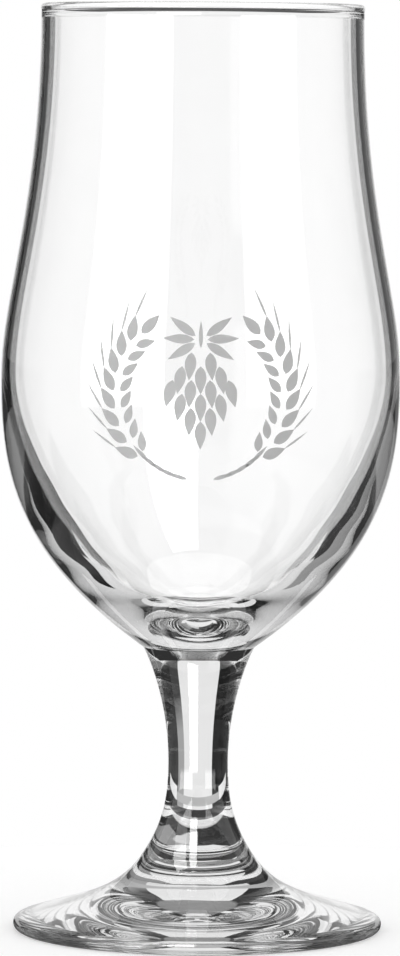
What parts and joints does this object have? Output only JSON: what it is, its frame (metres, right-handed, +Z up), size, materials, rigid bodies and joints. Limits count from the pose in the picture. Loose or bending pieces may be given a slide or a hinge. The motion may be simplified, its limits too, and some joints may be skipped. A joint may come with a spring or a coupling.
{
  "type": "stemmed beer glass",
  "caption": "Clear tulip-shaped beer glass: a blown bowl with a heavy floor on a short waisted stem and a wide flared foot, for serving a chilled drink.",
  "frame": {"origin": "on the axis of the glass, at the level of the table that the foot stands on", "axes": "+Z up along the axis from the foot to the rim, -Y towards the viewer of the printed side, +X to that viewer's right"},
  "size_m": [0.0732, 0.0732, 0.17],
  "materials": {
    "clear_glass": "clear soda-lime glass, fire polished",
    "grey_enamel": "thin fired-on grey enamel print, satin"
  },
  "bodies": {
    "root": {"bowl": "clear_glass", "stem": "clear_glass", "foot": "clear_glass"}
  },
  "joints": []
}
